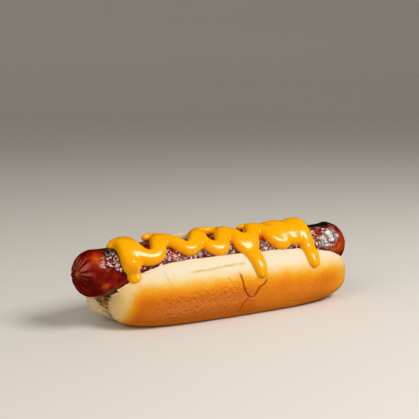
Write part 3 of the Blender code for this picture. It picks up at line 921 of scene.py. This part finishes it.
def bump(tree, height, depth, normal=None):
    """Normal of a surface whose height, from 0 to 1, spans that depth in mm."""
    inputs = {"Height": height, "Distance": depth * MM, "Strength": 1.0}
    if normal is not None:
        inputs["Normal"] = normal
    return add_node(tree, "ShaderNodeBump", inputs).outputs["Normal"]


def plug(tree, shader, **inputs):
    for key, value in inputs.items():
        socket = shader.inputs[key.replace("_", " ")]
        if isinstance(value, bpy.types.NodeSocket):
            tree.links.new(value, socket)
        else:
            socket.default_value = value


def bun_look():
    made, tree, shader = new_material("bun_look")
    place = here(tree)
    brown, crumb, crease_shade = field(tree, "browning"), field(tree, "crumb"), field(tree, "crease_shade")
    leather, groove, torn = field(tree, "leather"), field(tree, "groove"), field(tree, "torn")
    peel = field(tree, "peel")
    mottle = times(tree, centred_noise(tree, place, 9.0, detail=4.0), 0.42)
    fleck = times(tree, centred_noise(tree, place, 1.5, detail=4.0, roughness=0.6), 0.22)
    weight = grey_ramp(tree, brown, ((0.0, 0.4), (0.4, 1.0), (1.0, 0.7)))
    unevenness = times(tree, maths(tree, "ADD", mottle, fleck), weight)
    baked = maths(tree, "ADD", brown, unevenness, clamp=True)
    crust = ramp(tree, baked, (
        (0.00, (0.70, 0.630, 0.490)), (0.15, (0.74, 0.585, 0.34)), (0.30, (0.76, 0.495, 0.16)),
        (0.45, (0.75, 0.375, 0.030)), (0.60, (0.75, 0.285, 0.004)), (0.75, (0.71, 0.220, 0.002)),
        (0.87, (0.64, 0.178, 0.001)), (1.00, (0.57, 0.132, 0.001))))
    tan = blend(tree, times(tree, field(tree, "tint"), 0.5), crust, (0.62, 0.190, 0.036, 1.0))
    pits = grey_ramp(tree, cells(tree, place, 1.9), ((0.12, 1.0), (0.40, 0.0)))
    tan = blend(tree, times(tree, pits, times(tree, leather, 0.5)), tan,
                (0.30, 0.055, 0.006, 1.0))
    broken = grey_ramp(tree, rough(tree, place, 5.0, detail=2.0), ((0.30, 0.35), (0.60, 1.0)))
    tan = blend(tree, times(tree, groove, broken), tan, (0.62, 0.38, 0.045, 1.0))
    tan = blend(tree, times(tree, peel, 0.35), tan, (0.80, 0.67, 0.47, 1.0))
    # Painted shade in the creases and along the left end's seam.
    tan = blend(tree, times(tree, crease_shade, 0.85), tan, (0.24, 0.040, 0.002, 1.0))
    tan = blend(tree, times(tree, torn, 0.7), tan, (0.82, 0.68, 0.46, 1.0))
    nicks = grey_ramp(tree, rough(tree, place, 2.0, detail=2.0), ((0.56, 0.0), (0.64, 1.0)))
    tan = blend(tree, times(tree, nicks, times(tree, torn, 0.6)), tan, (0.36, 0.20, 0.06, 1.0))
    soft = ramp(tree, rough(tree, place, 2.4, detail=4.0), (
        (0.3, (0.70, 0.31, 0.03)), (0.5, (0.84, 0.51, 0.14)), (0.7, (0.90, 0.65, 0.30))))
    # Painted shade in the crumb's holes.
    pore_shade = grey_ramp(tree, cells(tree, place, 1.6), ((0.08, 1.0), (0.3, 0.0)))
    soft = blend(tree, times(tree, pore_shade, 0.5), soft, (0.42, 0.20, 0.03, 1.0))
    colour = blend(tree, crumb, tan, soft)
    fine = rough(tree, place, 0.8, detail=4.0, roughness=0.65)
    wrinkles = rough(tree, place, 2.2, detail=3.0, roughness=0.6)
    pimples = grey_ramp(tree, cells(tree, place, 1.7), ((0.0, 0.0), (0.6, 1.0)))
    normal = bump(tree, fine, depth=0.13)
    normal = bump(tree, times(tree, pimples, leather), depth=0.45, normal=normal)
    normal = bump(tree, wrinkles, depth=0.27, normal=normal)
    upright = add_node(tree, "ShaderNodeMapping", {"Vector": place, "Scale": (1.0, 1.0, 0.4)})
    upright = rough(tree, upright.outputs["Vector"], 2.6, detail=3.0, roughness=0.6, distortion=0.5)
    normal = bump(tree, upright, depth=0.16, normal=normal)
    normal = bump(tree, times(tree, cells(tree, place, 1.6), crumb), depth=0.7, normal=normal)
    matt = maths(tree, "ADD", times(tree, fine, 0.35), times(tree, crumb, 0.6))
    roughness = grey_ramp(tree, matt, ((0.0, 0.42), (0.35, 0.6), (0.8, 0.92)))
    plug(tree, shader, Base_Color=colour, Roughness=roughness, Normal=normal, Subsurface_Weight=0.12,
         Subsurface_Radius=(1.0, 0.45, 0.16), Subsurface_Scale=1.2 * MM, Specular_IOR_Level=0.15)
    return made


def sausage_look():
    made, tree, shader = new_material("sausage_look")
    place = here(tree)
    char, glow, blister_and_sheen = field(tree, "char"), field(tree, "glow"), field(tree, "blister_and_sheen")
    knot, pucker_shade, speckle_and_glints = field(tree, "knot"), field(tree, "pucker_shade"), field(tree, "speckle_and_glints")
    mottle = times(tree, centred_noise(tree, place, 7.0, detail=4.0, roughness=0.6, distortion=0.6), 1.1)
    warm = maths(tree, "ADD", times(tree, glow, 0.5), maths(tree, "ADD", mottle, 0.32), clamp=True)
    skin = ramp(tree, warm, (
        (0.0, (0.030, 0.0006, 0.0002)), (0.3, (0.135, 0.0016, 0.0002)), (0.55, (0.255, 0.008, 0.0004)),
        (0.8, (0.46, 0.055, 0.001)), (1.0, (0.64, 0.135, 0.005))))
    skin = blend(tree, times(tree, knot, 0.85), skin, (0.42, 0.11, 0.004, 1.0))
    # Painted highlight on the ridges by the knots.
    skin = blend(tree, times(tree, field(tree, "ridge_highlight"), 0.5), skin, (0.68, 0.21, 0.14, 1.0))
    # Painted shade in the creases round the knots.
    skin = blend(tree, times(tree, pucker_shade, 0.85), skin, (0.024, 0.001, 0.0004, 1.0))
    grain = rough(tree, place, 2.1, detail=2.0, roughness=0.5, distortion=0.9)
    pits = grey_ramp(tree, rough(tree, place, 1.3, detail=3.0, roughness=0.65, distortion=0.4),
                     ((0.48, 0.0), (0.56, 1.0)))
    skin = blend(tree, times(tree, speckle_and_glints, 0.35), skin, (0.100, 0.002, 0.0005, 1.0))
    dark = maths(tree, "ADD", times(tree, speckle_and_glints, 0.6), 0.12, clamp=True)
    skin = blend(tree, times(tree, pits, dark), skin, (0.012, 0.001, 0.0005, 1.0))
    # Painted highlight: pale glints in the speckled band and patches.
    glint = grey_ramp(tree, maths(tree, "ADD", grain, times(tree, speckle_and_glints, 0.07)),
                      ((0.59, 0.0), (0.65, 1.0)))
    patchy = grey_ramp(tree, rough(tree, place, 6.0, detail=1.0), ((0.40, 0.3), (0.55, 1.0)))
    glint = times(tree, glint, patchy)
    skin = blend(tree, times(tree, glint, speckle_and_glints), skin, (0.94, 0.73, 0.68, 1.0))
    creases = rough(tree, place, 7.0, detail=2.5, roughness=0.5, distortion=1.2)
    foil = grey_ramp(tree, maths(tree, "ABSOLUTE", maths(tree, "SUBTRACT", creases, 0.5)),
                     ((0.004, 0.0), (0.035, 1.0)))
    # Painted sheen: the blisters' silver colour stands in for a highlight on the burnt skin, with dark lines
    # between.
    sheen = ramp(tree, rough(tree, place, 3.5, detail=2.0),
                 ((0.38, (0.20, 0.13, 0.13)), (0.60, (0.74, 0.68, 0.68))))
    blister_sheen = blend(tree, foil, (0.020, 0.006, 0.006, 1.0), sheen)
    skin = blend(tree, times(tree, blister_and_sheen, 0.85), skin, blister_sheen)
    soot = ramp(tree, rough(tree, place, 1.2, detail=3.0),
                ((0.35, (0.003, 0.0015, 0.001)), (0.7, (0.030, 0.009, 0.004))))
    # Painted highlight: pale glints on the burnt skin too.
    soot = blend(tree, times(tree, glint, speckle_and_glints), soot, (0.85, 0.78, 0.75, 1.0))
    colour = blend(tree, char, skin, soot)
    film = grey_ramp(tree, cells(tree, place, 1.9), ((0.0, 0.0), (0.7, 1.0)))
    rugged = maths(tree, "ADD", speckle_and_glints, maths(tree, "ADD", char, 0.08))
    normal = bump(tree, times(tree, grain, rugged), depth=0.9)
    normal = bump(tree, rough(tree, place, 3.2, detail=2.0, roughness=0.5, distortion=0.8), depth=0.22,
                  normal=normal)
    normal = bump(tree, times(tree, film, maths(tree, "ADD", char, speckle_and_glints)), depth=0.6, normal=normal)
    normal = bump(tree, times(tree, foil, blister_and_sheen), depth=0.45, normal=normal)
    roughness = grey_ramp(tree, rough(tree, place, 3.0, detail=3.0), ((0.3, 0.24), (0.7, 0.38)))
    plug(tree, shader, Base_Color=colour, Roughness=roughness, Normal=normal, Specular_IOR_Level=0.15,
         Coat_Weight=0.5, Coat_Roughness=0.08, Coat_IOR=1.65, Coat_Normal=normal)
    return made


def mustard_look():
    made, tree, shader = new_material("mustard_look")
    place = here(tree)
    colour = ramp(tree, rough(tree, place, 14.0, detail=1.0), (
        (0.3, (0.92, 0.365, 0.0002)), (0.5, (0.93, 0.380, 0.0002)), (0.7, (0.94, 0.395, 0.0002))))
    fine = rough(tree, place, 1.6, detail=3.0, roughness=0.5)
    normal = bump(tree, rough(tree, place, 7.0, detail=0.0), depth=0.06, normal=bump(tree, fine, depth=0.004))
    roughness = grey_ramp(tree, rough(tree, place, 4.0, detail=2.0), ((0.3, 0.24), (0.7, 0.34)))
    plug(tree, shader, Base_Color=colour, Roughness=roughness, Normal=normal, Subsurface_Weight=0.6,
         Subsurface_Radius=(1.0, 0.5, 0.03), Subsurface_Scale=2.4 * MM, Specular_IOR_Level=0.05,
         Coat_Weight=0.5, Coat_Roughness=0.2, Coat_IOR=1.7)
    return made


def dress(obj, material, node):
    obj.data.materials.clear()
    obj.data.materials.append(material)
    obj.data.shade_smooth()
    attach(obj, "root")
    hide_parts(node)


# Stage


def add_stage():
    points = [(0.0, 0.0, 0.0)]
    faces = []
    for reach, height in FLOOR_RINGS[1:]:
        reach, height = PER_METRE * reach, PER_METRE * height
        for j in range(FLOOR_SIDES):
            turn = 2.0 * math.pi * j / FLOOR_SIDES
            points.append((reach * math.cos(turn), reach * math.sin(turn), height))
    for j in range(FLOOR_SIDES):
        faces.append((0, 1 + j, 1 + (j + 1) % FLOOR_SIDES))
    for i in range(len(FLOOR_RINGS) - 2):
        for j in range(FLOOR_SIDES):
            a, b, k = 1 + i * FLOOR_SIDES, 1 + (i + 1) * FLOOR_SIDES, (j + 1) % FLOOR_SIDES
            faces.append((a + j, b + j, b + k, a + k))
    mesh = bpy.data.meshes.new("floor")
    mesh.from_pydata([tuple(p * MM for p in point) for point in points], [], faces)
    mesh.update()
    floor = add_object("floor", mesh)
    material, tree, shader = new_material("floor_pale")
    plug(tree, shader, Base_Color=(0.70, 0.675, 0.635, 1.0), Roughness=0.8, Specular_IOR_Level=0.2)
    floor.data.materials.append(material)
    floor.data.shade_smooth()
    floor.visible_glossy = False


def add_light(name, place, size, power, colour):
    """A rectangle of light at a place in metres, turned to the hot dog."""
    data = bpy.data.lights.new(name, "AREA")
    data.shape = "RECTANGLE"
    data.size, data.size_y = size
    data.energy = power
    data.color = colour
    light = add_object(name, data)
    light.location = place
    light.rotation_euler = (Vector(LIGHT_AIM) - Vector(place)).to_track_quat("-Z", "Y").to_euler()
    return light


def add_camera():
    data = bpy.data.cameras.new("camera")
    data.sensor_width = CAMERA_SENSOR
    data.lens = CAMERA_LENS
    camera = add_object("camera", data)
    camera.location = [v * MM for v in CAMERA_PLACE]
    camera.rotation_euler = (math.radians(90.0 - CAMERA_PITCH), 0.0, math.radians(-CAMERA_YAW))
    bpy.context.scene.camera = camera


# The hot dog

bun = bun_mesh()
dress(bun, bun_look(), "bun")
sausage = sausage_mesh()
dress(sausage, sausage_look(), "sausage")
mustard = mustard_mesh()
dress(mustard, mustard_look(), "mustard")

add_stage()
add_light("key", (0.32, -0.58, 0.66), size=(0.40, 0.34), power=7.2, colour=(1.0, 0.97, 0.93))
fill = add_light("fill", (-0.75, -0.45, 0.65), size=(0.9, 0.9), power=4.6, colour=(1.0, 0.955, 0.88))
fill.visible_glossy = False
world = bpy.data.worlds.new("world")
world.use_nodes = True
plug(world.node_tree, world.node_tree.nodes["Background"], Color=(1.0, 0.94, 0.84, 1.0), Strength=0.28)
world.cycles_visibility.glossy = False
bpy.context.scene.world = world
bpy.context.scene.view_settings.view_transform = "Standard"
add_camera()
